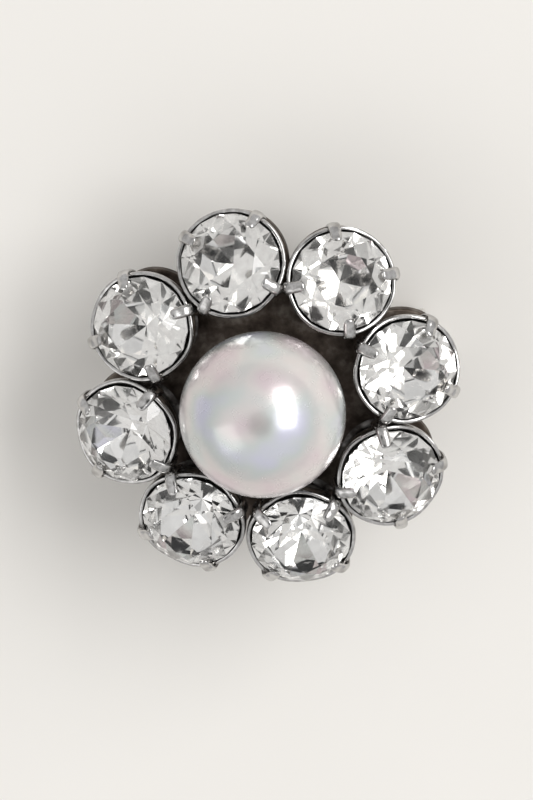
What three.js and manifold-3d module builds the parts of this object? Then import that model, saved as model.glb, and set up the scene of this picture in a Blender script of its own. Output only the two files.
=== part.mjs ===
// Flower cluster brooch: eight claw-set round crystals around one raised pearl, on a domed scalloped
// plate, with a pin bar, a hinged stem and a turning safety catch behind.
//
// Frame, in millimetres: +Z out of the front, +X along the pin bar from the hinge to the catch.
// The origin is the centre of the pad on the pin bar's rear face, which bears on the cloth.

import * as THREE from 'three';
import { mergeVertices } from 'three/addons/utils/BufferGeometryUtils.js';
import Module from 'manifold-3d';

// ---------------------------------------------------------------- driving dimensions

const GAP = 0.04;                 // between pieces that touch

// ring of stones
const STONE_COUNT = 8;
const STONE_RADIUS = 3.0;
const PETAL_TILT = THREE.MathUtils.degToRad(19);    // each stone leans outwards
const SETTING_RING_RADIUS = 7.7;                    // from the brooch's axis to a setting's foot
const SETTING_TURNS = [4, -6, 3, 7, -3, 5, -7, -2]; // degrees that each soldered cup is off square

// crystal, measured from the top edge of its girdle
const TABLE_RADIUS = 1.7;
const STAR_RADIUS = 2.22;
const CROWN_HEIGHT = 1.15;
const GIRDLE_HEIGHT = 0.16;
const PAVILION_DEPTH = 2.3;
const PAVILION_BREAK_RADIUS = 1.75;

// claw setting, measured from its foot
const CUP_WALL = 0.28;
const CUP_FOOT_RADIUS = 2.0;
const CUP_HEIGHT = 3.12;
const CUP_FLOOR = 0.35;
const CUP_FLOOR_RADIUS = 1.2;
const CUP_SHOULDER = 0.9;         // height of the rim's steep band
const GIRDLE_LEVEL = 3.36;        // top edge of the crystal's girdle
const CLAW_COUNT = 4;
const CLAW_WIDTH = 0.8;
const CLAW_THICKNESS = 0.28;
const CLAW_ROOT = 1.2;            // how far a claw runs down the cup's rim band
const CLAW_REACH = 0.78;          // how far a claw runs in over the crown

// back plate: flat crown, sloping petals, flat rim
const PLATE_THICKNESS = 0.8;
const RIM_INNER = 10.0;
const RIM_OUTER = 11.4;           // beyond the scallops, which trim it
const CROWN_APOTHEM = 5.5;
const SCALLOP_RADIUS = 3.1;
const SCALLOP_CENTRE = 7.9;
const POST_HOLE_RADIUS = 0.64;

// pearl with its cup and post
const PEARL_RADIUS = 5.0;
const PEARL_HOLE_DEPTH = 5.3;
const POST_RADIUS = 0.6;
const POST_HEAD_RADIUS = 1.2;
const POST_HEAD_HEIGHT = 0.5;
const CUP_SHELL = 0.35;
const PEARL_CUP_RIM_RADIUS = 3.3;
const PEARL_CUP_FOOT_RADIUS = 2.1;

// pin bar
const BAR_THICKNESS = 0.7;
const BAR_WIDTH = 4.2;
const BAR_HALF_LENGTH = 10.6;
const BAR_CORNER = 1.4;
const PAD_HALF_LENGTH = 4.0;
const PAD_STEP = 0.12;            // the bar's middle pad stands this far behind its ends

// stem, hinge and catch share one line behind the bar
const STEM_DROP = 3.0;
const STEM_RADIUS = 0.42;
const STEM_POINT_LENGTH = 2.6;
const STEM_TIP_X = 10.7;
const HINGE_X = -8.6;
const EYE_RADIUS = 1.05;
const EYE_HOLE_RADIUS = 0.5;
const EYE_THICKNESS = 1.1;
const RIVET_RADIUS = 0.46;
const RIVET_HEAD_RADIUS = 0.8;
const RIVET_HEAD_HEIGHT = 0.3;
const EAR_THICKNESS = 0.5;
const EAR_RADIUS = 1.45;
const EAR_SPACING = EYE_THICKNESS + 2 * GAP;
const BRACKET_BASE_THICKNESS = 0.45;
const BRACKET_LENGTH = 3.4;
const BRACKET_WIDTH = 3.2;

const CATCH_X = 8.3;
const CATCH_LENGTH = 2.7;
const CATCH_WINDOW = 1.1;         // gap between the two rings, for the thumb tab
const FLANGE_THICKNESS = 0.4;
const FLANGE_WIDTH = 3.0;
const FLANGE_MARGIN = 0.3;
const NECK_WIDTH = 1.2;
const HOUSING_OUTER_RADIUS = 1.55;
const HOUSING_INNER_RADIUS = 1.15;
const HOUSING_MOUTH = 1.3;
const BARREL_OUTER_RADIUS = 1.08;
const BARREL_BORE_RADIUS = 0.56;
const BARREL_MOUTH = 1.1;
const TAB_WIDTH = 0.85;
const TAB_THICKNESS = 0.5;
const TAB_REACH = 2.7;
const TAB_ANGLE = THREE.MathUtils.degToRad(220);

// ---------------------------------------------------------------- derived sizes

const RIM_REAR_Z = BAR_THICKNESS + GAP;
const CROWN_REAR_Z = RIM_REAR_Z + (RIM_INNER - CROWN_APOTHEM) * Math.tan(PETAL_TILT);
const CROWN_FRONT_Z = CROWN_REAR_Z + PLATE_THICKNESS;
const MOUNTING_Z = PAD_STEP - GAP;                  // top of the hinge bracket and the catch
const STEM_Z = -STEM_DROP;

// ---------------------------------------------------------------- materials

function metal(color, roughness) {
  return new THREE.MeshStandardMaterial({ color, roughness, metalness: 1 });
}

const PEARL_FINISH = new THREE.MeshStandardMaterial({ color: 0xe9e4e2, roughness: 0.22, metalness: 0 });
const CRYSTAL_FINISH = new THREE.MeshStandardMaterial({
  color: 0xeef2f4, roughness: 0.04, metalness: 0.1, flatShading: true,
});
const SILVER_FINISH = metal(0xb9b9b6, 0.32);
const DARK_FINISH = metal(0x4a4744, 0.5);
const STEEL_FINISH = metal(0xc4c5c7, 0.25);

// ---------------------------------------------------------------- solid helpers

const manifold = await Module();
manifold.setup();

function toSolid(geometry) {
  const bare = geometry.clone();
  bare.deleteAttribute('normal');
  bare.deleteAttribute('uv');
  const merged = mergeVertices(bare.index ? bare.toNonIndexed() : bare, 1e-5);
  return new manifold.Manifold(new manifold.Mesh({
    numProp: 3,
    vertProperties: new Float32Array(merged.attributes.position.array),
    triVerts: new Uint32Array(merged.index.array),
  }));
}

function toGeometry(solid) {
  const { vertProperties, triVerts, numProp } = solid.getMesh();
  const positions = new Float32Array(vertProperties.length / numProp * 3);
  for (let i = 0; i < positions.length / 3; i++) {
    positions.set(vertProperties.subarray(i * numProp, i * numProp + 3), i * 3);
  }
  const geometry = new THREE.BufferGeometry();
  geometry.setAttribute('position', new THREE.BufferAttribute(positions, 3));
  geometry.setIndex(new THREE.BufferAttribute(new Uint32Array(triVerts), 1));
  geometry.computeVertexNormals();
  return geometry;
}

// Solid of revolution about Z, from [radius, z] points listed from bottom to top along the outside.
function turned(points, segments, phiStart = 0) {
  const outline = points.map(([r, z]) => new THREE.Vector2(r, z));
  return new THREE.LatheGeometry(outline, segments, phiStart).rotateX(Math.PI / 2);
}

// Points [radius, z] along an arc about [0, centreZ], at polar angles measured up from straight down.
function arcPoints(radius, centreZ, fromAngle, toAngle, steps) {
  return Array.from({ length: steps + 1 }, (unused, i) => {
    const angle = fromAngle + (toAngle - fromAngle) * i / steps;
    return [radius * Math.sin(angle), centreZ - radius * Math.cos(angle)];
  });
}

function disc(radius, bottom, top, segments = 24) {
  return turned([[0, bottom], [radius, bottom], [radius, top], [0, top]], segments);
}

function block(low, high) {
  const size = high.map((value, i) => value - low[i]);
  return new THREE.BoxGeometry(...size).translate(...low.map((value, i) => value + size[i] / 2));
}

function extruded(shape, depth, curveSegments = 12) {
  return new THREE.ExtrudeGeometry(shape, { depth, bevelEnabled: false, curveSegments });
}

function named(name, geometry, material) {
  const mesh = new THREE.Mesh(geometry, material);
  mesh.name = name;
  return mesh;
}

// ---------------------------------------------------------------- crystal

// Round brilliant cut: table, 8 stars, 8 bezels, 16 upper girdle facets, 16-sided girdle,
// 16 lower girdle facets and 8 pavilion mains meeting at the culet. The girdle's top edge is at z = 0.
function crystalGeometry() {
  const cosHalf = Math.cos(Math.PI / 8);
  const tableToGirdle = STONE_RADIUS - TABLE_RADIUS;
  const starZ = CROWN_HEIGHT * (STONE_RADIUS - STAR_RADIUS * cosHalf) / tableToGirdle;
  const culetZ = -GIRDLE_HEIGHT - PAVILION_DEPTH;
  const breakZ = culetZ + PAVILION_DEPTH * PAVILION_BREAK_RADIUS * cosHalf / STONE_RADIUS;
  const around = (radius, z) => (eighths) => {
    const angle = eighths * Math.PI / 4;
    return [radius * Math.cos(angle), radius * Math.sin(angle), z];
  };
  const table = around(TABLE_RADIUS, CROWN_HEIGHT);
  const star = around(STAR_RADIUS, starZ);
  const girdleTop = around(STONE_RADIUS, 0);
  const girdleBottom = around(STONE_RADIUS, -GIRDLE_HEIGHT);
  const pavilionBreak = around(PAVILION_BREAK_RADIUS, breakZ);
  const culet = [0, 0, culetZ];
  const corners = [];
  const facet = (...points) => {
    for (let i = 2; i < points.length; i++) {
      corners.push(...points[0], ...points[i - 1], ...points[i]);
    }
  };
  facet(...Array.from({ length: 8 }, (unused, k) => table(k)));
  for (let k = 0; k < 8; k++) {
    facet(table(k), star(k + 0.5), table(k + 1));
    facet(table(k), star(k - 0.5), girdleTop(k), star(k + 0.5));
    facet(culet, pavilionBreak(k + 0.5), girdleBottom(k), pavilionBreak(k - 0.5));
  }
  for (let half = 0; half < 16; half++) {
    const from = half / 2;
    const to = from + 0.5;
    const tip = half % 2 ? from : to;
    facet(star(tip), girdleTop(from), girdleTop(to));
    facet(girdleTop(from), girdleBottom(from), girdleBottom(to), girdleTop(to));
    facet(girdleBottom(from), pavilionBreak(tip), girdleBottom(to));
  }
  const geometry = new THREE.BufferGeometry();
  geometry.setAttribute('position', new THREE.Float32BufferAttribute(corners, 3));
  geometry.computeVertexNormals();
  return geometry;
}

// ---------------------------------------------------------------- claw setting

// One claw as the outline of its side, extruded to its width: up the cup's wall, then in over the crown.
function clawGeometry() {
  const inner = STONE_RADIUS + GAP;
  const outer = inner + CLAW_THICKNESS;
  const rootZ = CUP_HEIGHT - CLAW_ROOT;
  const crownSlope = CROWN_HEIGHT / (STONE_RADIUS - TABLE_RADIUS);
  const tipRadius = STONE_RADIUS - CLAW_REACH;
  const lift = GAP * 1.5;
  const tipZ = GIRDLE_LEVEL + CLAW_REACH * crownSlope + lift;
  const shape = new THREE.Shape();
  shape.moveTo(inner, rootZ);
  shape.lineTo(outer, rootZ);
  shape.lineTo(outer, GIRDLE_LEVEL + 0.12);
  shape.quadraticCurveTo(outer - 0.06, GIRDLE_LEVEL + 0.45, tipRadius + 0.1, tipZ + CLAW_THICKNESS);
  shape.quadraticCurveTo(tipRadius - 0.12, tipZ + CLAW_THICKNESS * 0.9, tipRadius, tipZ);
  shape.lineTo(inner, GIRDLE_LEVEL + lift);
  shape.closePath();
  return extruded(shape, CLAW_WIDTH, 4).translate(0, 0, -CLAW_WIDTH / 2).rotateX(Math.PI / 2);
}

// Stamped cup with a steep rim band, and the claws bent from it over the stone.
function clawSettingGeometry() {
  const inner = STONE_RADIUS + GAP;
  const outer = inner + CUP_WALL;
  const shoulderZ = CUP_HEIGHT - CUP_SHOULDER;
  let setting = toSolid(turned([
    [0, 0],
    [CUP_FOOT_RADIUS, 0],
    [CUP_FOOT_RADIUS + 0.25, 0.3],
    [outer - 0.12, shoulderZ],
    [outer, shoulderZ + 0.4],
    [outer, CUP_HEIGHT],
    [inner, CUP_HEIGHT],
    [inner - 0.25, shoulderZ],
    [CUP_FLOOR_RADIUS, CUP_FLOOR],
    [0, CUP_FLOOR],
  ], 24));
  const claw = clawGeometry();
  for (let k = 0; k < CLAW_COUNT; k++) {
    const angle = (k + 0.5) * 2 * Math.PI / CLAW_COUNT;
    setting = setting.add(toSolid(claw.clone().rotateZ(angle)));
  }
  return toGeometry(setting);
}

// ---------------------------------------------------------------- back plate

// Domed plate: an eight-sided lathe gives one flat sloping petal under each setting, a scalloped
// prism trims its edge, and a hole takes the pearl's post.
function backPlateGeometry() {
  const toCorner = 1 / Math.cos(Math.PI / STONE_COUNT);
  const rimFrontZ = RIM_REAR_Z + PLATE_THICKNESS;
  const shell = toSolid(turned([
    [0, CROWN_REAR_Z],
    [CROWN_APOTHEM * toCorner, CROWN_REAR_Z],
    [RIM_INNER * toCorner, RIM_REAR_Z],
    [RIM_OUTER * toCorner, RIM_REAR_Z],
    [RIM_OUTER * toCorner, rimFrontZ],
    [RIM_INNER * toCorner, rimFrontZ],
    [CROWN_APOTHEM * toCorner, CROWN_FRONT_Z],
    [0, CROWN_FRONT_Z],
  ], STONE_COUNT, Math.PI / STONE_COUNT + Math.PI / 2));
  let trim = toSolid(disc(SCALLOP_CENTRE, 0, CROWN_FRONT_Z + 1));
  for (let k = 0; k < STONE_COUNT; k++) {
    const angle = k * 2 * Math.PI / STONE_COUNT;
    const scallop = disc(SCALLOP_RADIUS, 0, CROWN_FRONT_Z + 1, 56);
    scallop.translate(SCALLOP_CENTRE * Math.cos(angle), SCALLOP_CENTRE * Math.sin(angle), 0);
    trim = trim.add(toSolid(scallop));
  }
  const postHole = toSolid(disc(POST_HOLE_RADIUS, 0, CROWN_FRONT_Z + 1));
  return toGeometry(shell.intersect(trim).subtract(postHole));
}

// ---------------------------------------------------------------- pearl, cup and post

const PEARL_Z = CROWN_FRONT_Z + GAP + CUP_SHELL + GAP + PEARL_RADIUS;

function pearlGeometry() {
  const holeAngle = Math.asin(POST_HOLE_RADIUS / PEARL_RADIUS);
  const holeTop = PEARL_Z - PEARL_RADIUS + PEARL_HOLE_DEPTH;
  return turned([
    [0, holeTop],
    [POST_HOLE_RADIUS, holeTop],
    ...arcPoints(PEARL_RADIUS, PEARL_Z, holeAngle, Math.PI, 22).slice(0, -1),
    [0, PEARL_Z + PEARL_RADIUS],
  ], 40);
}

function pearlCupGeometry() {
  const innerRadius = PEARL_RADIUS + GAP;
  const outerRadius = innerRadius + CUP_SHELL;
  const footZ = CROWN_FRONT_Z + GAP;
  const footAngle = Math.asin(PEARL_CUP_FOOT_RADIUS / outerRadius);
  const rimAngle = Math.asin(PEARL_CUP_RIM_RADIUS / innerRadius);
  const holeAngle = Math.asin(POST_HOLE_RADIUS / innerRadius);
  const outside = arcPoints(outerRadius, PEARL_Z, footAngle, rimAngle, 5);
  const inside = arcPoints(innerRadius, PEARL_Z, rimAngle, holeAngle, 7);
  const profile = [[POST_HOLE_RADIUS, footZ], [PEARL_CUP_FOOT_RADIUS, footZ], ...outside, ...inside];
  return turned([...profile, profile[0]], 36);
}

function pearlPostGeometry() {
  const headTop = CROWN_REAR_Z - GAP;
  return turned([
    [0, headTop - POST_HEAD_HEIGHT],
    [POST_HEAD_RADIUS - 0.25, headTop - POST_HEAD_HEIGHT],
    [POST_HEAD_RADIUS, headTop - 0.2],
    [POST_HEAD_RADIUS, headTop],
    [POST_RADIUS, headTop],
    [POST_RADIUS, PEARL_Z - 0.1],
    [POST_RADIUS - 0.15, PEARL_Z],
    [0, PEARL_Z],
  ], 24);
}

// ---------------------------------------------------------------- pin bar

// Side view of the bar, with its middle pad, extruded to its width; the corners are rounded in plan.
function pinBarGeometry() {
  const x = BAR_HALF_LENGTH;
  const y = BAR_WIDTH / 2;
  const side = new THREE.Shape([
    new THREE.Vector2(-x, BAR_THICKNESS),
    new THREE.Vector2(-x, PAD_STEP),
    new THREE.Vector2(-PAD_HALF_LENGTH - PAD_STEP, PAD_STEP),
    new THREE.Vector2(-PAD_HALF_LENGTH, 0),
    new THREE.Vector2(PAD_HALF_LENGTH, 0),
    new THREE.Vector2(PAD_HALF_LENGTH + PAD_STEP, PAD_STEP),
    new THREE.Vector2(x, PAD_STEP),
    new THREE.Vector2(x, BAR_THICKNESS),
  ]);
  const strip = extruded(side, BAR_WIDTH).translate(0, 0, -y).rotateX(Math.PI / 2);
  const plan = new THREE.Shape();
  plan.moveTo(-x + BAR_CORNER, -y);
  plan.lineTo(x - BAR_CORNER, -y);
  plan.absarc(x - BAR_CORNER, -y + BAR_CORNER, BAR_CORNER, -Math.PI / 2, 0);
  plan.absarc(x - BAR_CORNER, y - BAR_CORNER, BAR_CORNER, 0, Math.PI / 2);
  plan.absarc(-x + BAR_CORNER, y - BAR_CORNER, BAR_CORNER, Math.PI / 2, Math.PI);
  plan.absarc(-x + BAR_CORNER, -y + BAR_CORNER, BAR_CORNER, Math.PI, 3 * Math.PI / 2);
  const trim = extruded(plan, BAR_THICKNESS + 2, 6).translate(0, 0, -1);
  return toGeometry(toSolid(strip).intersect(toSolid(trim)));
}

// ---------------------------------------------------------------- hinge

// A lathe's axis turned from Z to Y, with its centre on the stem's hinge line.
function aboutHinge(geometry) {
  return geometry.rotateX(-Math.PI / 2).translate(HINGE_X, 0, STEM_Z);
}

function hingeBracketGeometry() {
  const top = MOUNTING_Z;
  const earInner = EAR_SPACING / 2;
  const earOuter = earInner + EAR_THICKNESS;
  let bracket = toSolid(block(
    [HINGE_X - BRACKET_LENGTH / 2, -BRACKET_WIDTH / 2, top - BRACKET_BASE_THICKNESS],
    [HINGE_X + BRACKET_LENGTH / 2, BRACKET_WIDTH / 2, top],
  ));
  for (const side of [-1, 1]) {
    const low = side > 0 ? earInner : -earOuter;
    const web = block(
      [HINGE_X - EAR_RADIUS, low, STEM_Z],
      [HINGE_X + EAR_RADIUS, low + EAR_THICKNESS, top - BRACKET_BASE_THICKNESS + 0.1],
    );
    const lobe = aboutHinge(disc(EAR_RADIUS, low, low + EAR_THICKNESS, 28));
    bracket = bracket.add(toSolid(web)).add(toSolid(lobe));
  }
  const bore = aboutHinge(disc(EYE_HOLE_RADIUS, -earOuter - 1, earOuter + 1, 20));
  return toGeometry(bracket.subtract(toSolid(bore)));
}

function hingeRivetGeometry() {
  const faceY = EAR_SPACING / 2 + EAR_THICKNESS + GAP;
  const endY = faceY + RIVET_HEAD_HEIGHT;
  const crownRadius = RIVET_HEAD_RADIUS - 0.28;
  return aboutHinge(turned([
    [0, -endY],
    [crownRadius, -endY],
    [RIVET_HEAD_RADIUS, -faceY - 0.1],
    [RIVET_HEAD_RADIUS, -faceY],
    [RIVET_RADIUS, -faceY],
    [RIVET_RADIUS, faceY],
    [RIVET_HEAD_RADIUS, faceY],
    [RIVET_HEAD_RADIUS, faceY + 0.1],
    [crownRadius, endY],
    [0, endY],
  ], 20));
}

function pinStemGeometry() {
  const half = EYE_THICKNESS / 2;
  const eye = toSolid(aboutHinge(disc(EYE_RADIUS, -half, half, 28)));
  const hole = toSolid(aboutHinge(disc(EYE_HOLE_RADIUS, -half - 1, half + 1, 20)));
  const wireStart = EYE_RADIUS * 0.75;
  const wireLength = STEM_TIP_X - HINGE_X;
  const wire = turned([
    [0, wireStart],
    [STEM_RADIUS, wireStart],
    [STEM_RADIUS, wireLength - STEM_POINT_LENGTH],
    [STEM_RADIUS * 0.78, wireLength - STEM_POINT_LENGTH * 0.6],
    [STEM_RADIUS * 0.4, wireLength - STEM_POINT_LENGTH * 0.2],
    [0, wireLength],
  ], 16);
  wire.rotateY(Math.PI / 2).translate(HINGE_X, 0, STEM_Z);
  return toGeometry(eye.add(toSolid(wire)).subtract(hole));
}

// ---------------------------------------------------------------- safety catch

// Ring about the stem's line, along X, with a parallel-sided mouth towards the back.
function openRing(outerRadius, innerRadius, mouth, fromX, toX) {
  const along = (geometry) => geometry.rotateY(Math.PI / 2).translate(0, 0, STEM_Z);
  const outside = toSolid(along(disc(outerRadius, fromX, toX, 36)));
  const bore = toSolid(along(disc(innerRadius, fromX - 1, toX + 1, 36)));
  const slot = toSolid(block(
    [fromX - 1, -mouth / 2, STEM_Z - outerRadius - 1],
    [toX + 1, mouth / 2, STEM_Z],
  ));
  return outside.subtract(bore).subtract(slot);
}

function catchHousingGeometry() {
  const start = CATCH_X - CATCH_LENGTH / 2;
  const end = CATCH_X + CATCH_LENGTH / 2;
  const windowStart = CATCH_X - CATCH_WINDOW / 2;
  const windowEnd = CATCH_X + CATCH_WINDOW / 2;
  const top = MOUNTING_Z;
  const neckBottom = STEM_Z + HOUSING_INNER_RADIUS + 0.1;
  const neckTop = top - FLANGE_THICKNESS / 2;
  let housing = toSolid(block(
    [start - FLANGE_MARGIN, -FLANGE_WIDTH / 2, top - FLANGE_THICKNESS],
    [end + FLANGE_MARGIN, FLANGE_WIDTH / 2, top],
  ));
  housing = housing.add(toSolid(block(
    [start, -NECK_WIDTH / 2, neckBottom],
    [end, NECK_WIDTH / 2, neckTop],
  )));
  for (const [from, to] of [[start, windowStart], [windowEnd, end]]) {
    const ring = openRing(HOUSING_OUTER_RADIUS, HOUSING_INNER_RADIUS, HOUSING_MOUTH, from, to);
    housing = housing.add(ring);
  }
  return toGeometry(housing);
}

function catchBarrelGeometry() {
  const half = CATCH_LENGTH / 2;
  const start = CATCH_X - half;
  const end = CATCH_X + half;
  const ring = openRing(BARREL_OUTER_RADIUS, BARREL_BORE_RADIUS, BARREL_MOUTH, start, end);
  const tabRoot = (BARREL_OUTER_RADIUS + BARREL_BORE_RADIUS) / 2;
  const tab = block(
    [-TAB_WIDTH / 2, tabRoot, -TAB_THICKNESS / 2],
    [TAB_WIDTH / 2, TAB_REACH, TAB_THICKNESS / 2],
  );
  tab.rotateX(TAB_ANGLE).translate(CATCH_X, 0, STEM_Z);
  return toGeometry(ring.add(toSolid(tab)));
}

// ---------------------------------------------------------------- assembly

// One petal's group: its Z is square to the sloping petal. Its X points outwards, but for the
// cup's turn.
function petal(index, crystal, setting) {
  const spoke = new THREE.Group();
  spoke.rotation.z = index * 2 * Math.PI / STONE_COUNT;
  const seat = new THREE.Group();
  const footZ = CROWN_FRONT_Z - (SETTING_RING_RADIUS - CROWN_APOTHEM) * Math.tan(PETAL_TILT);
  seat.position.set(
    SETTING_RING_RADIUS + GAP * Math.sin(PETAL_TILT),
    0,
    footZ + GAP * Math.cos(PETAL_TILT),
  );
  seat.rotation.y = PETAL_TILT;
  seat.rotateZ(THREE.MathUtils.degToRad(SETTING_TURNS[index]));
  const stone = named(`crystal_${index + 1}`, crystal, CRYSTAL_FINISH);
  stone.position.z = GIRDLE_LEVEL;
  seat.add(stone, named(`claw_setting_${index + 1}`, setting, SILVER_FINISH));
  spoke.add(seat);
  return spoke;
}

function brooch() {
  const group = new THREE.Group();
  const crystal = crystalGeometry();
  const setting = clawSettingGeometry();
  for (let k = 0; k < STONE_COUNT; k++) {
    group.add(petal(k, crystal, setting));
  }
  group.add(
    named('pearl', pearlGeometry(), PEARL_FINISH),
    named('pearl_cup', pearlCupGeometry(), SILVER_FINISH),
    named('pearl_post', pearlPostGeometry(), SILVER_FINISH),
    named('back_plate', backPlateGeometry(), DARK_FINISH),
    named('pin_bar', pinBarGeometry(), SILVER_FINISH),
    named('hinge_bracket', hingeBracketGeometry(), SILVER_FINISH),
    named('hinge_rivet', hingeRivetGeometry(), STEEL_FINISH),
    named('pin_stem', pinStemGeometry(), STEEL_FINISH),
    named('catch_housing', catchHousingGeometry(), SILVER_FINISH),
    named('catch_barrel', catchBarrelGeometry(), SILVER_FINISH),
  );
  return group;
}

export default brooch();
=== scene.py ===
import math

import bmesh
import bpy
from mathutils import Matrix, Quaternion, Vector, noise

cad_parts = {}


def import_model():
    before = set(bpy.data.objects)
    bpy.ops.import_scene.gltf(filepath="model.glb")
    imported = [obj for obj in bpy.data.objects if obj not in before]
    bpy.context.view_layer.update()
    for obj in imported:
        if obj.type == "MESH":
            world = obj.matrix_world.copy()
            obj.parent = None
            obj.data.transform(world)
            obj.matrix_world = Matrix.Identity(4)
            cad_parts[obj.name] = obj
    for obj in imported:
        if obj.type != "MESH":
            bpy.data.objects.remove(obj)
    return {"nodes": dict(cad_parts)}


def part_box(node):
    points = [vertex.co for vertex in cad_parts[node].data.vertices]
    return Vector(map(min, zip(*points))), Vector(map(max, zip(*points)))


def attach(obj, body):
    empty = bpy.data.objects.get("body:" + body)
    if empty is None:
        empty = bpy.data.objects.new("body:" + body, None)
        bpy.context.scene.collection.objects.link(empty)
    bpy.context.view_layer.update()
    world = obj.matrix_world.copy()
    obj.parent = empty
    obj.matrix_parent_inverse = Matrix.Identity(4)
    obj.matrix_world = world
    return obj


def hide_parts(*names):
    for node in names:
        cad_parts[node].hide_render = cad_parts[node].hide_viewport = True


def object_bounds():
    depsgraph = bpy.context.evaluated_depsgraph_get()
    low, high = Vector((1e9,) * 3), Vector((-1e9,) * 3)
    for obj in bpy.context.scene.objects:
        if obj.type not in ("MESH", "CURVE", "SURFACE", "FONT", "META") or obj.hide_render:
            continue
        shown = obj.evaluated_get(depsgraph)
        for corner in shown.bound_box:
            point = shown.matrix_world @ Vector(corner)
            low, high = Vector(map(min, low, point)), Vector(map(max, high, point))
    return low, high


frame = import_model()
CAD_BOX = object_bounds()

# ---------------------------------------------------------------- sizes, in metres

MM = 0.001
STONE_COUNT = 8
CROWN_HEIGHT = 1.15 * MM             # the table above the girdle's top edge
CULET_TO_GIRDLE = 2.46 * MM          # from the culet up to the girdle's top edge
GIRDLE_LEVEL = 3.36 * MM             # the girdle's top edge above its setting's foot

LOW, HIGH = CAD_BOX
FLOOR_Z = LOW.z - 0.02 * MM          # a hair under the lowest part
WIDTH = HIGH.y - LOW.y
PEARL_LOW, PEARL_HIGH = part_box("pearl")
PEARL_RADIUS = (PEARL_HIGH.x - PEARL_LOW.x) / 2
PEARL_CENTRE = Vector((0, 0, PEARL_HIGH.z - PEARL_RADIUS))

# The brooch lies turned under the camera, which looks down at it from a little above its middle.
CAMERA_LEAN = math.radians(15)
CAMERA_TOWARDS = math.radians(61)
PHOTO_TURN = math.radians(14)
CAMERA_DISTANCE = 0.45
AIM_DROP = 0.7                       # how far under the pearl's middle it aims, as a share of the radius
SENSOR = 36.0
FRAME_SHARE = 0.74                   # how much of the picture's width the brooch fills
PICTURE_ASPECT = 1.5                 # height over width


# ---------------------------------------------------------------- material nodes

def set_stops(node, stops):
    """Gives a colour ramp its (position, value) stops, where a value is a number or a colour."""
    elements = node.color_ramp.elements
    while len(elements) < len(stops):
        elements.new(0.5)
    for element, (position, value) in zip(elements, stops):
        element.position = position
        element.color = (*value, 1) if hasattr(value, "__len__") else (value, value, value, 1)


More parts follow.
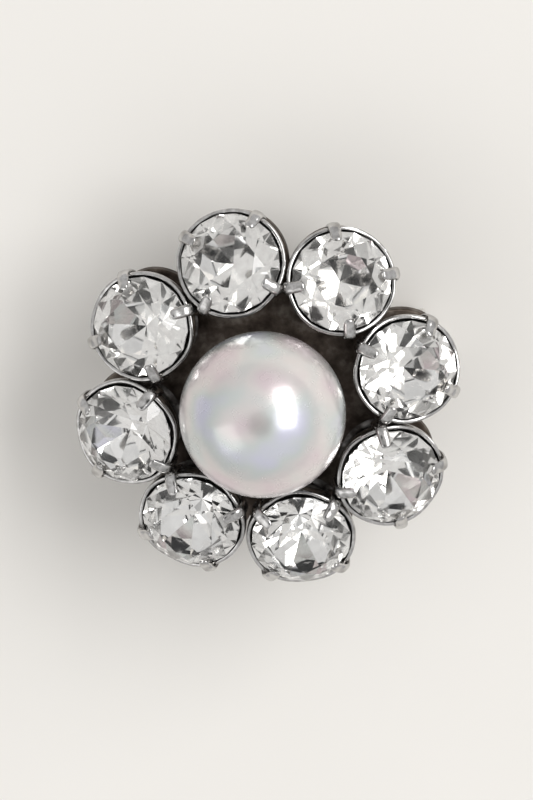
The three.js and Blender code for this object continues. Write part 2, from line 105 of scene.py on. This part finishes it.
class Finish:
    """A Principled material, with short calls for the pattern nodes that feed it."""

    def __init__(self, name, **constants):
        self.material = bpy.data.materials.new(name)
        self.material.use_nodes = True
        self.tree = self.material.node_tree
        self.tree.nodes.clear()
        output = self.tree.nodes.new("ShaderNodeOutputMaterial")
        self.shader = self.tree.nodes.new("ShaderNodeBsdfPrincipled")
        self.tree.links.new(self.shader.outputs[0], output.inputs["Surface"])
        self.place = self.tree.nodes.new("ShaderNodeTexCoord").outputs["Object"]
        for socket, value in constants.items():
            self.shader.inputs[socket.replace("_", " ")].default_value = value

    def connect(self, value, socket):
        """Links an output to a socket, or sets the socket to a number or colour."""
        if isinstance(value, bpy.types.NodeSocket):
            self.tree.links.new(value, socket)
        elif hasattr(value, "__len__"):
            socket.default_value = (*value, 1)
        else:
            socket.default_value = value

    def drive(self, socket, source):
        """Feeds one of the shader's sockets."""
        self.tree.links.new(source, self.shader.inputs[socket])

    def noise(self, size, detail=4.0, roughness=0.5, stretch=(1, 1, 1), shift=(0, 0, 0)):
        """Cloudy noise whose features are about size metres across."""
        mapping = self.tree.nodes.new("ShaderNodeMapping")
        mapping.inputs["Scale"].default_value = [s / size for s in stretch]
        mapping.inputs["Location"].default_value = shift
        self.tree.links.new(self.place, mapping.inputs["Vector"])
        node = self.tree.nodes.new("ShaderNodeTexNoise")
        node.inputs["Scale"].default_value = 1.0
        node.inputs["Detail"].default_value = detail
        node.inputs["Roughness"].default_value = roughness
        self.tree.links.new(mapping.outputs[0], node.inputs["Vector"])
        return node.outputs["Fac"]

    def scratches(self, size):
        """Fine streaks along X, 25 times as long as they are wide."""
        return self.noise(size, 3, 0.6, (0.04, 1, 1))

    def split_place(self):
        """The X, Y and Z of the point, in the piece's own frame."""
        split = self.tree.nodes.new("ShaderNodeSeparateXYZ")
        self.tree.links.new(self.place, split.inputs[0])
        return split.outputs

    def step(self, value, low, high):
        """0 below low, 1 above high, and smooth between them."""
        node = self.tree.nodes.new("ShaderNodeMapRange")
        node.interpolation_type = "SMOOTHSTEP"
        node.inputs["From Min"].default_value = low
        node.inputs["From Max"].default_value = high
        self.tree.links.new(value, node.inputs["Value"])
        return node.outputs[0]

    def height(self, low, high):
        """0 at local z = low, 1 at local z = high."""
        return self.step(self.split_place()["Z"], low, high)

    def out_from_axis(self, low, high):
        """0 at distance low from the local Z axis, 1 at distance high."""
        place = self.split_place()
        flat = self.tree.nodes.new("ShaderNodeCombineXYZ")
        self.tree.links.new(place["X"], flat.inputs["X"])
        self.tree.links.new(place["Y"], flat.inputs["Y"])
        length = self.tree.nodes.new("ShaderNodeVectorMath")
        length.operation = "LENGTH"
        self.tree.links.new(flat.outputs[0], length.inputs[0])
        return self.step(length.outputs["Value"], low, high)

    def ramp(self, source, *stops):
        """Maps a value to numbers or colours given as (position, value) stops."""
        node = self.tree.nodes.new("ShaderNodeValToRGB")
        set_stops(node, stops)
        self.tree.links.new(source, node.inputs["Fac"])
        return node.outputs["Color"]

    def mix(self, factor, first, second):
        """The first colour where the factor is 0, the second where it is 1."""
        node = self.tree.nodes.new("ShaderNodeMix")
        node.data_type = "RGBA"
        self.connect(factor, node.inputs["Factor"])
        self.connect(first, node.inputs["A"])
        self.connect(second, node.inputs["B"])
        return node.outputs["Result"]

    def math(self, operation, first, second):
        """A sum or product, kept between 0 and 1."""
        node = self.tree.nodes.new("ShaderNodeMath")
        node.operation = operation
        node.use_clamp = True
        self.connect(first, node.inputs[0])
        self.connect(second, node.inputs[1])
        return node.outputs[0]

    def bump(self, height, strength, distance):
        """Roughens the surface, by up to distance metres."""
        node = self.tree.nodes.new("ShaderNodeBump")
        node.inputs["Strength"].default_value = strength
        node.inputs["Distance"].default_value = distance
        self.tree.links.new(height, node.inputs["Height"])
        self.drive("Normal", node.outputs[0])


# ---------------------------------------------------------------- materials

def crystal_glass():
    """Lead glass, faintly smudged."""
    f = Finish("crystal_glass", Transmission_Weight=1.0, IOR=1.56)
    smudge = f.noise(1.1 * MM, 3)
    f.drive("Base Color", f.ramp(smudge, (0.3, (0.985, 0.985, 0.98)), (0.7, (1.0, 1.0, 1.0))))
    f.drive("Roughness", f.ramp(smudge, (0.5, 0.0), (0.8, 0.03)))
    f.bump(f.noise(0.5 * MM, 2), 0.05, 0.01 * MM)
    return f.material


def crystal_foil():
    """The silvered backing of a stone, a little clouded."""
    f = Finish("crystal_foil", Metallic=1.0)
    cloud = f.noise(0.7 * MM)
    f.drive("Base Color", f.ramp(cloud, (0.3, (0.90, 0.885, 0.87)), (0.7, (0.97, 0.965, 0.95))))
    f.drive("Roughness", f.ramp(cloud, (0.35, 0.03), (0.75, 0.12)))
    return f.material


def pearl_lacquer():
    """Pearl essence under clear lacquer, with drifts of pink, cream, green and lavender, partly the
    bead's own nacre colours and partly painted reflection: the noise is shifted to lay the pink and
    lavender where coloured surroundings would show in the bead.
    """
    f = Finish(
        "pearl_lacquer", Metallic=0.46, Coat_Weight=0.6, Coat_Roughness=0.15, Coat_IOR=1.45,
        Specular_IOR_Level=0.6,
    )
    # Colour drifts, partly nacre and partly painted reflection of coloured surroundings.
    orient_and_painted_reflection = f.noise(3.4 * MM, 2, 0.4, shift=(9.4, 4.6, 7.8))
    f.drive("Base Color", f.ramp(
        orient_and_painted_reflection, (0.32, (0.66, 0.565, 0.585)), (0.45, (0.67, 0.63, 0.615)),
        (0.56, (0.585, 0.615, 0.60)), (0.68, (0.59, 0.59, 0.69))))
    f.drive("Roughness", f.ramp(f.noise(1.2 * MM), (0.3, 0.20), (0.7, 0.30)))
    f.bump(f.noise(1.6 * MM, 1), 0.3, 0.03 * MM)
    return f.material


def setting_silver():
    """Silver plate, blackened in patches, darker low down in the cup partly as tarnish and partly as
    painted shade, and bright from rubbing on the rim and the claws.
    """
    f = Finish("setting_silver", Metallic=1.0)
    patch = f.noise(0.8 * MM, 5, 0.62)
    # Lighter with height: rubbing on the rim and the claws above, painted shade low down in the cup.
    rubbed_out_of_painted_shade = f.height(0.9 * MM, 2.9 * MM)
    bright = f.ramp(f.noise(0.45 * MM), (0.35, (0.40, 0.39, 0.38)), (0.65, (0.62, 0.61, 0.60)))
    # Dark colour for the tarnish patches and for the painted shade low down.
    tarnish_and_painted_shade = f.ramp(patch, (0.35, (0.05, 0.044, 0.04)), (0.65, (0.17, 0.16, 0.15)))
    wear_vs_painted_shade = f.math("ADD", f.math("MULTIPLY", rubbed_out_of_painted_shade, 0.85), f.ramp(patch, (0.42, 0.0), (0.62, 0.30)))
    f.drive("Base Color", f.mix(wear_vs_painted_shade, tarnish_and_painted_shade, bright))
    f.drive("Roughness", f.ramp(wear_vs_painted_shade, (0.1, 0.55), (0.9, 0.17)))
    f.bump(f.noise(0.3 * MM, 2), 0.12, 0.02 * MM)
    return f.material


def patina_and_painted_shade_plate():
    """Stamped plate in matt dark brown, partly an antique finish and partly painted shade for the gaps
    between the settings, with silver showing where rubbing has taken the finish off round its outer edge.
    """
    f = Finish("patina_and_painted_shade_plate", Metallic=1.0)
    patch = f.noise(1.5 * MM, 6, 0.62)
    # Dark brown inside the rim: partly antique finish, partly painted shade in the gaps between the
    # settings.
    patina_and_painted_shade = f.ramp(
        patch, (0.36, (0.035, 0.026, 0.021)), (0.52, (0.10, 0.080, 0.066)), (0.70, (0.25, 0.22, 0.19)))
    rubbed_out_of_painted_shade = f.ramp(f.noise(0.5 * MM), (0.3, (0.42, 0.40, 0.37)), (0.7, (0.62, 0.60, 0.57)))
    edge = f.out_from_axis(10.35 * MM, 10.95 * MM)
    wear_vs_painted_shade = f.math("MULTIPLY", edge, f.ramp(patch, (0.40, 0.15), (0.60, 1.0)))
    f.drive("Base Color", f.mix(wear_vs_painted_shade, patina_and_painted_shade, rubbed_out_of_painted_shade))
    f.drive("Roughness", f.ramp(wear_vs_painted_shade, (0.0, 0.56), (0.9, 0.28)))
    f.bump(f.noise(0.22 * MM), 0.45, 0.04 * MM)
    return f.material


def solder():
    """Grey solder, slightly grainy, with brown flux stains."""
    f = Finish("solder", Metallic=1.0)
    stain = f.noise(0.6 * MM, 5, 0.6)
    f.drive("Base Color", f.ramp(
        stain, (0.36, (0.16, 0.12, 0.09)), (0.5, (0.38, 0.37, 0.35)), (0.7, (0.56, 0.56, 0.55))))
    f.drive("Roughness", f.ramp(f.noise(0.3 * MM), (0.3, 0.28), (0.7, 0.5)))
    f.bump(f.noise(0.25 * MM, 3), 0.4, 0.03 * MM)
    return f.material


def silver_plate():
    """Tumbled silver plate, with clouds of tarnish and fine hairlines along the bar."""
    f = Finish("tumbled_silver", Metallic=1.0)
    patch = f.noise(1.6 * MM, 5, 0.62)
    hairline = f.scratches(0.12 * MM)
    plate = f.ramp(patch, (0.35, (0.62, 0.60, 0.57)), (0.65, (0.78, 0.77, 0.75)))
    tarnish = f.ramp(f.noise(2.4 * MM, 6, 0.65), (0.56, 0.0), (0.74, 0.75))
    f.drive("Base Color", f.mix(tarnish, plate, (0.17, 0.14, 0.11)))
    f.drive("Roughness", f.ramp(hairline, (0.3, 0.20), (0.7, 0.38)))
    f.bump(hairline, 0.18, 0.02 * MM)
    return f.material


def drawn_steel():
    """Bright drawn wire with fine lines along its length."""
    f = Finish("drawn_steel", Metallic=1.0)
    line = f.scratches(0.08 * MM)
    cloud = f.noise(0.9 * MM, 4, 0.5, (0.3, 1, 1))
    f.drive("Base Color", f.ramp(cloud, (0.35, (0.57, 0.57, 0.58)), (0.65, (0.68, 0.68, 0.69))))
    f.drive("Roughness", f.ramp(line, (0.3, 0.14), (0.7, 0.30)))
    f.bump(line, 0.2, 0.015 * MM)
    return f.material


def floor_paper():
    """Matt off-white paper."""
    f = Finish("floor_paper")
    f.drive("Base Color", f.ramp(
        f.noise(30 * MM), (0.3, (0.79, 0.765, 0.725)), (0.7, (0.81, 0.785, 0.745))))
    f.drive("Roughness", f.ramp(f.noise(5 * MM), (0.3, 0.85), (0.7, 0.95)))
    return f.material


# ---------------------------------------------------------------- mesh helpers

WELD = 0.0005 * MM                   # vertices nearer than this are one
FLAT_DEGREES = 0.5                   # faces that meet at less than this are one flat
EDGE_DEGREES = 30                    # edges sharper than this are rounded


def make_piece(name, mesh, material, place=None):
    piece = bpy.data.objects.new(name, mesh)
    if place is not None:
        piece.matrix_world = place
    mesh.materials.append(material)
    bpy.context.scene.collection.objects.link(piece)
    return piece


def finish_mesh(shape, name, sharp_degrees=40):
    """Turns a bmesh into a mesh, smooth but for edges sharper than the angle."""
    bmesh.ops.recalc_face_normals(shape, faces=shape.faces)
    for face in shape.faces:
        face.smooth = True
    for edge in shape.edges:
        edge.smooth = len(edge.link_faces) == 2 and edge.calc_face_angle() < math.radians(sharp_degrees)
    mesh = bpy.data.meshes.new(name)
    shape.to_mesh(mesh)
    shape.free()
    return mesh


def refined(node, body, material, edge=0.05 * MM):
    """A piece that stands for a CAD node: the same solid, its flats joined up and its edges rounded."""
    shape = bmesh.new()
    shape.from_mesh(frame["nodes"][node].data)
    bmesh.ops.remove_doubles(shape, verts=shape.verts, dist=WELD)
    bmesh.ops.dissolve_limit(
        shape, angle_limit=math.radians(FLAT_DEGREES), verts=shape.verts, edges=shape.edges)
    piece = make_piece(f"{node}_fine", finish_mesh(shape, node, EDGE_DEGREES), material)
    # The node's own normals no longer fit the joined flats.
    piece.data.attributes.remove(piece.data.attributes["custom_normal"])
    bevel = piece.modifiers.new("rounded edges", "BEVEL")
    bevel.width = edge
    bevel.segments = 2
    bevel.limit_method = "ANGLE"
    bevel.angle_limit = math.radians(EDGE_DEGREES)
    bevel.use_clamp_overlap = True
    bevel.harden_normals = True
    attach(piece, body)
    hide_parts(node)


def curve_points(controls, steps):
    """Points along a Catmull-Rom curve through the controls, as tuples of the same length."""
    padded = [controls[0], *controls, controls[-1]]
    points = []
    for i in range(len(controls) - 1):
        for step in range(steps):
            t = step / steps
            points.append(tuple(
                0.5 * (2 * q + (r - p) * t + (2 * p - 5 * q + 4 * r - s) * t * t
                       + (3 * q - p - 3 * r + s) * t ** 3)
                for p, q, r, s in zip(*padded[i:i + 4])))
    points.append(tuple(controls[-1]))
    return points


def loft(shape, rings):
    """Joins rings of points with quads and closes both ends."""
    rows = [[shape.verts.new(p) for p in ring] for ring in rings]
    count = len(rows[0])
    for lower, upper in zip(rows, rows[1:]):
        for i in range(count):
            j = (i + 1) % count
            shape.faces.new((lower[i], lower[j], upper[j], upper[i]))
    shape.faces.new(rows[0])
    shape.faces.new(rows[-1])


# ---------------------------------------------------------------- claw settings

# These are in millimetres, in the setting's own frame.
CUP_SIDES = 96
CUP_PROFILE = [                      # outer wall from the solder fillet up, over the rim, and down inside
    (2.46, 0.0), (2.26, 0.07), (2.14, 0.22), (2.17, 0.42), (2.42, 0.90), (2.80, 1.60),
    (3.12, 2.20), (3.27, 2.55), (3.31, 2.86), (3.31, 3.10), (3.28, 3.20), (3.19, 3.24),
    (3.09, 3.20), (3.05, 3.06), (2.97, 2.66), (2.76, 2.24), (2.00, 1.25), (1.20, 0.38),
]
CUP_WAVE = 0.012                     # how far the stamped wall wanders
RIM_TOP = 3.24
RIM_DIP = 0.22                       # how far the rim dips between two claws
DIP_FROM = 2.2                       # where the dip starts to tell
CLAW_COUNT = 4
CLAW_PATH = [                        # radius, height, half width and half thickness, from root to tip
    (3.05, 1.75, 0.30, 0.10), (3.23, 2.15, 0.42, 0.13), (3.35, 2.60, 0.42, 0.15),
    (3.37, 3.05, 0.40, 0.15), (3.33, 3.38, 0.38, 0.15), (3.15, 3.60, 0.37, 0.14),
    (2.88, 3.75, 0.36, 0.13), (2.62, 3.92, 0.33, 0.12), (2.46, 4.03, 0.27, 0.10),
    (2.38, 4.07, 0.16, 0.06),
]
CLAW_STEPS = 3                       # rings from one point of the path to the next
CLAW_SIDES = 14
CLAW_DOME = 1.25                     # of the half thickness, on the outside
CLAW_FLAT = 0.75                     # of the half thickness, on the inside
CLAW_SQUARENESS = 0.7                # 1 is an ellipse, less is squarer


def seat_frame(k):
    """The setting's own frame: origin at its foot, Z along the stone's axis, X between two claws."""
    points = [v.co.copy() for v in frame["nodes"][f"crystal_{k}"].data.vertices]
    culet = min(points, key=lambda p: p.z)
    middle = sum(points, Vector()) / len(points)
    axis = (middle - culet).normalized()
    girdle = culet + axis * CULET_TO_GIRDLE
    foot = girdle - axis * GIRDLE_LEVEL
    outward = Vector((foot.x, foot.y, 0)).normalized()
    table = [p for p in points if (p - girdle).dot(axis) > 0.99 * CROWN_HEIGHT]
    corner = max(table, key=lambda p: (p - girdle).dot(outward))
    x = (corner - girdle - axis * (corner - girdle).dot(axis)).normalized()
    y = axis.cross(x)
    return Matrix.LocRotScale(foot, Matrix((x, y, axis)).transposed(), None)


def cup_rings(k):
    """Rings of the cup, wavy as a thin stamping is, its rim dipping between the claws."""
    rings = []
    for radius, z in CUP_PROFILE:
        share = min(max((z - DIP_FROM) / (RIM_TOP - DIP_FROM), 0), 1)
        ring = []
        for i in range(CUP_SIDES):
            angle = 2 * math.pi * i / CUP_SIDES
            between = 0.5 + 0.5 * math.cos(CLAW_COUNT * angle)
            dip = RIM_DIP * share ** 2 * between ** 1.5
            place = Vector((math.cos(angle) * 2, math.sin(angle) * 2, z * 1.5 + 10 * k))
            r = radius + CUP_WAVE * noise.noise(place)
            ring.append(Vector((r * math.cos(angle), r * math.sin(angle), z - dip)) * MM)
        rings.append(ring)
    return rings


def claw_rings(angle):
    """Rings of one claw: flat inside, domed outside, bent in over the stone."""
    path = curve_points(CLAW_PATH, CLAW_STEPS)
    radial = Vector((math.cos(angle), math.sin(angle), 0))
    side = Vector((-math.sin(angle), math.cos(angle), 0))
    rings = []
    for i, (radius, z, half_width, half_thickness) in enumerate(path):
        before, after = path[max(i - 1, 0)], path[min(i + 1, len(path) - 1)]
        run, rise = after[0] - before[0], after[1] - before[1]
        out = (radial * rise - Vector((0, 0, run))) / math.hypot(run, rise)
        middle = radial * radius + Vector((0, 0, z))
        ring = []
        for j in range(CLAW_SIDES):
            turn = 2 * math.pi * j / CLAW_SIDES
            lift = math.sin(turn)
            lift *= CLAW_DOME if lift > 0 else CLAW_FLAT
            across = math.copysign(abs(math.cos(turn)) ** CLAW_SQUARENESS, math.cos(turn))
            point = middle + side * across * half_width + out * lift * half_thickness
            ring.append(point * MM)
        rings.append(ring)
    return rings


def claw_setting(k, material):
    """A stamped cup with four claws, halfway between the setting's own axes."""
    shape = bmesh.new()
    loft(shape, cup_rings(k))
    for c in range(CLAW_COUNT):
        loft(shape, claw_rings((c + 0.5) * 2 * math.pi / CLAW_COUNT))
    mesh = finish_mesh(shape, f"claw_setting_{k}_fine", 50)
    piece = make_piece(f"claw_setting_{k}_fine", mesh, material, seat_frame(k))
    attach(piece, "cluster")
    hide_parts(f"claw_setting_{k}")


# ---------------------------------------------------------------- stones and pearl

FOIL_FACING = -0.2                   # facets whose normals point further down the stone's axis are foiled
PEARL_SIDES = 144
PEARL_RINGS = 84
HOLE_LIP = 0.12 * MM                 # radius of the soft lip round the drilled hole
LIP_STEPS = 5
DRILL_POINT = 0.3                    # depth of the drill's cone, as a share of the hole's radius
UNEVENNESS = 0.002                   # how far the bead is out of true, as a share of its radius


def dress_crystals():
    """Clear glass above and foil on the pavilion's facets."""
    glass, foil = crystal_glass(), crystal_foil()
    for k in range(1, STONE_COUNT + 1):
        stone = frame["nodes"][f"crystal_{k}"]
        stone.data.materials.clear()
        stone.data.materials.append(glass)
        stone.data.materials.append(foil)
        axis = seat_frame(k).col[2].to_3d()
        for face in stone.data.polygons:
            face.material_index = 1 if face.normal.dot(axis) < FOIL_FACING else 0


def drilled_hole():
    """The radius of the hole in the pearl, and the height of its blind end over the pearl's middle."""
    points = [v.co - PEARL_CENTRE for v in frame["nodes"]["pearl"].data.vertices]
    inside = [p for p in points if p.length < 0.9 * PEARL_RADIUS]
    return max(math.hypot(p.x, p.y) for p in inside), max(p.z for p in inside)


def pearl_outline():
    """Radius and height from the hole's blind end, out round its lip, and up over the bead to the top."""
    hole, end = drilled_hole()
    start = math.asin((hole + HOLE_LIP) / PEARL_RADIUS)
    lip_z = -PEARL_RADIUS * math.cos(start)
    cone = DRILL_POINT * hole
    outline = [(0, end + cone), (0.6 * hole, end + 0.4 * cone), (hole, end), (hole, lip_z + 2 * HOLE_LIP)]
    for step in range(1, LIP_STEPS):
        turn = math.pi / 2 * step / LIP_STEPS
        outline.append((
            hole + HOLE_LIP * (1 - math.cos(turn)),
            lip_z + 2 * HOLE_LIP * (1 - math.sin(turn)),
        ))
    for step in range(PEARL_RINGS + 1):
        turn = start + (math.pi - start) * step / PEARL_RINGS
        outline.append((PEARL_RADIUS * math.sin(turn), -PEARL_RADIUS * math.cos(turn)))
    return outline


def pearl():
    """A round bead, half drilled from below, and slightly out of true as coated beads are."""
    shape = bmesh.new()
    rings = []
    for radius, z in pearl_outline():
        ring = []
        for i in range(PEARL_SIDES):
            angle = 2 * math.pi * i / PEARL_SIDES
            point = Vector((radius * math.cos(angle), radius * math.sin(angle), z))
            ring.append(point * (1 - UNEVENNESS * (1 + noise.noise(point / (4 * MM)))))
        rings.append(ring)
    loft(shape, rings)
    bmesh.ops.remove_doubles(shape, verts=shape.verts, dist=0.0001 * MM)
    mesh = finish_mesh(shape, "pearl_fine", 50)
    piece = make_piece("pearl_fine", mesh, pearl_lacquer(), Matrix.Translation(PEARL_CENTRE))
    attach(piece, "cluster")
    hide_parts("pearl")


# ---------------------------------------------------------------- solder

BEAD_SWELL = 0.22                    # how uneven a bead of solder is, as a share of its size
BAR_BEAD = (1.15 * MM, 0.42 * MM, 0.30 * MM)
BAR_BEAD_REACH = 8.3 * MM            # where the bar crosses the plate's rear rim
FOOT_BEAD = (0.30 * MM, 1.25 * MM, 0.22 * MM)


def solder_bead(name, middle, size, seed, material):
    """A low flowed blob of solder against two faces, of the given half sizes."""
    shape = bmesh.new()
    bmesh.ops.create_icosphere(shape, subdivisions=4, radius=1)
    for vertex in shape.verts:
        swell = 1 + BEAD_SWELL * noise.noise(vertex.co * 1.6 + Vector((seed, 0, 0)))
        vertex.co = Vector(p * s for p, s in zip(vertex.co * swell, size))
    mesh = finish_mesh(shape, name)
    piece = make_piece(name, mesh, material, Matrix.Translation(middle))
    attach(piece, "cluster")


def solder_joints():
    """Solder where the bar meets the plate's rear rim, and under the hinge and the catch."""
    material = solder()
    bar_low, bar_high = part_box("pin_bar")
    for end in (-1, 1):
        for side, y in ((-1, bar_low.y), (1, bar_high.y)):
            middle = Vector((end * BAR_BEAD_REACH, y + side * 0.10 * MM, bar_high.z - 0.08 * MM))
            name = f"solder_bar_{end + 1}_{side + 1}"
            solder_bead(name, middle, BAR_BEAD, 5 * end + 2 * side, material)
    for node, seed in (("hinge_bracket", 21), ("catch_housing", 34)):
        low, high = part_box(node)
        for side, x in ((-1, low.x), (1, high.x)):
            middle = Vector((x, 0, high.z - 0.10 * MM))
            solder_bead(f"solder_{node}_{side + 1}", middle, FOOT_BEAD, seed + side, material)


# ---------------------------------------------------------------- stage, lights and camera

FLOOR_REACH = 1.5
SKY_STRENGTH = 0.76
SKY_STOPS = [                        # brightness by the sine of the elevation: horizon 0, straight up 1
    (0.0, 0.78), (0.35, 0.82), (0.65, 1.0), (0.94, 1.0), (0.975, 0.08),
]
SOFTBOX_DISTANCE = 1.0


def floor():
    shape = bmesh.new()
    bmesh.ops.create_grid(shape, x_segments=1, y_segments=1, size=FLOOR_REACH)
    mesh = bpy.data.meshes.new("floor")
    shape.to_mesh(mesh)
    shape.free()
    make_piece("floor", mesh, floor_paper(), Matrix.Translation((0, 0, FLOOR_Z)))


def world():
    """Even pale surroundings, darker straight overhead where the camera stands."""
    studio = bpy.data.worlds.new("studio")
    studio.use_nodes = True
    tree = studio.node_tree
    background = tree.nodes["Background"]
    split = tree.nodes.new("ShaderNodeSeparateXYZ")
    ramp = tree.nodes.new("ShaderNodeValToRGB")
    set_stops(ramp, SKY_STOPS)
    tree.links.new(tree.nodes.new("ShaderNodeTexCoord").outputs["Generated"], split.inputs[0])
    tree.links.new(split.outputs["Z"], ramp.inputs["Fac"])
    tree.links.new(ramp.outputs["Color"], background.inputs["Color"])
    background.inputs["Strength"].default_value = SKY_STRENGTH
    bpy.context.scene.world = studio


def softbox(name, azimuth, elevation, size, power, roll=0):
    """A rectangular lamp that faces the pearl, turned about its own axis by the roll, in degrees."""
    data = bpy.data.lights.new(name, "AREA")
    data.shape = "RECTANGLE"
    data.size, data.size_y = size
    data.energy = power
    lamp = bpy.data.objects.new(name, data)
    a, e = math.radians(azimuth), math.radians(elevation)
    away = Vector((math.cos(a) * math.cos(e), math.sin(a) * math.cos(e), math.sin(e)))
    lamp.location = PEARL_CENTRE + away * SOFTBOX_DISTANCE
    facing = (-away).to_track_quat("-Z", "Y")
    lamp.rotation_euler = (facing @ Quaternion((0, 0, 1), math.radians(roll))).to_euler()
    bpy.context.scene.collection.objects.link(lamp)


def camera():
    data = bpy.data.cameras.new("camera")
    eye = bpy.data.objects.new("camera", data)
    away = Vector((
        math.cos(CAMERA_TOWARDS) * math.sin(CAMERA_LEAN),
        math.sin(CAMERA_TOWARDS) * math.sin(CAMERA_LEAN),
        math.cos(CAMERA_LEAN),
    ))
    middle = Vector((0, 0, PEARL_CENTRE.z - AIM_DROP * PEARL_RADIUS))
    eye.location = middle + away * CAMERA_DISTANCE
    up = Vector((math.sin(PHOTO_TURN), math.cos(PHOTO_TURN), 0))
    right = up.cross(away).normalized()
    eye.rotation_mode = "QUATERNION"
    eye.rotation_quaternion = Matrix((right, away.cross(right), away)).transposed().to_quaternion()
    data.sensor_width = SENSOR
    picture_height = WIDTH / FRAME_SHARE * PICTURE_ASPECT
    data.lens = SENSOR * CAMERA_DISTANCE / picture_height
    data.clip_start = 0.01
    data.clip_end = 10
    bpy.context.scene.collection.objects.link(eye)
    bpy.context.scene.camera = eye


# ---------------------------------------------------------------- assembly

camera()
dress_crystals()
setting_metal = setting_silver()
for number in range(1, STONE_COUNT + 1):
    claw_setting(number, setting_metal)
pearl()
refined("back_plate", "cluster", patina_and_painted_shade_plate(), 0.12 * MM)
silver = silver_plate()
steel = drawn_steel()
for name, body in (
    ("pearl_cup", "cluster"), ("pearl_post", "cluster"), ("pin_bar", "cluster"),
    ("hinge_bracket", "cluster"), ("catch_housing", "cluster"), ("catch_barrel", "barrel"),
):
    refined(name, body, silver)
refined("hinge_rivet", "cluster", steel, 0.03 * MM)
refined("pin_stem", "stem", steel, 0.03 * MM)
solder_joints()

floor()
world()
softbox("key", azimuth=18, elevation=46, size=(0.95, 0.42), power=6.6, roll=-27)
softbox("fill", azimuth=195, elevation=40, size=(0.6, 0.6), power=0.8)
bpy.context.scene.view_settings.view_transform = "Standard"
